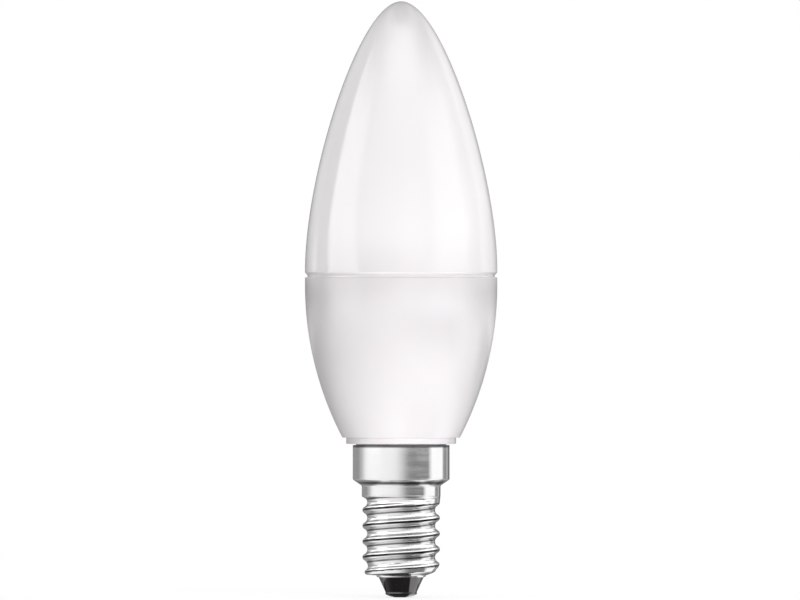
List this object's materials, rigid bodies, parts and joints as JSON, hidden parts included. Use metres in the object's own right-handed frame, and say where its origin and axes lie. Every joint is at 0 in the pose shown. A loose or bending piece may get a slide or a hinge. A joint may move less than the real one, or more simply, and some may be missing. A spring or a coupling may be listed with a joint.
{
  "type": "led candle bulb",
  "caption": "Candle-shaped LED bulb: glossy opal cover on a satin white housing, with a rolled screw cap, black insulator and centre contact.",
  "frame": {"origin": "middle of the centre contact's flat face, at the bottom of the bulb", "axes": "+Z along the bulb's axis, from the contact up to the cover's tip; X and Y across it"},
  "size_m": [0.0346, 0.0346, 0.107],
  "materials": {
    "opal_cover": "glossy opal polycarbonate, milky white",
    "housing": "satin moulded white plastic",
    "screw_shell": "bright nickel plate on drawn and rolled sheet",
    "insulator": "glossy moulded black",
    "centre_contact": "tinned, dull"
  },
  "bodies": {
    "root": {"opal_cover": "opal_cover", "housing": "housing", "screw_shell": "screw_shell", "insulator": "insulator", "centre_contact": "centre_contact"}
  },
  "joints": []
}
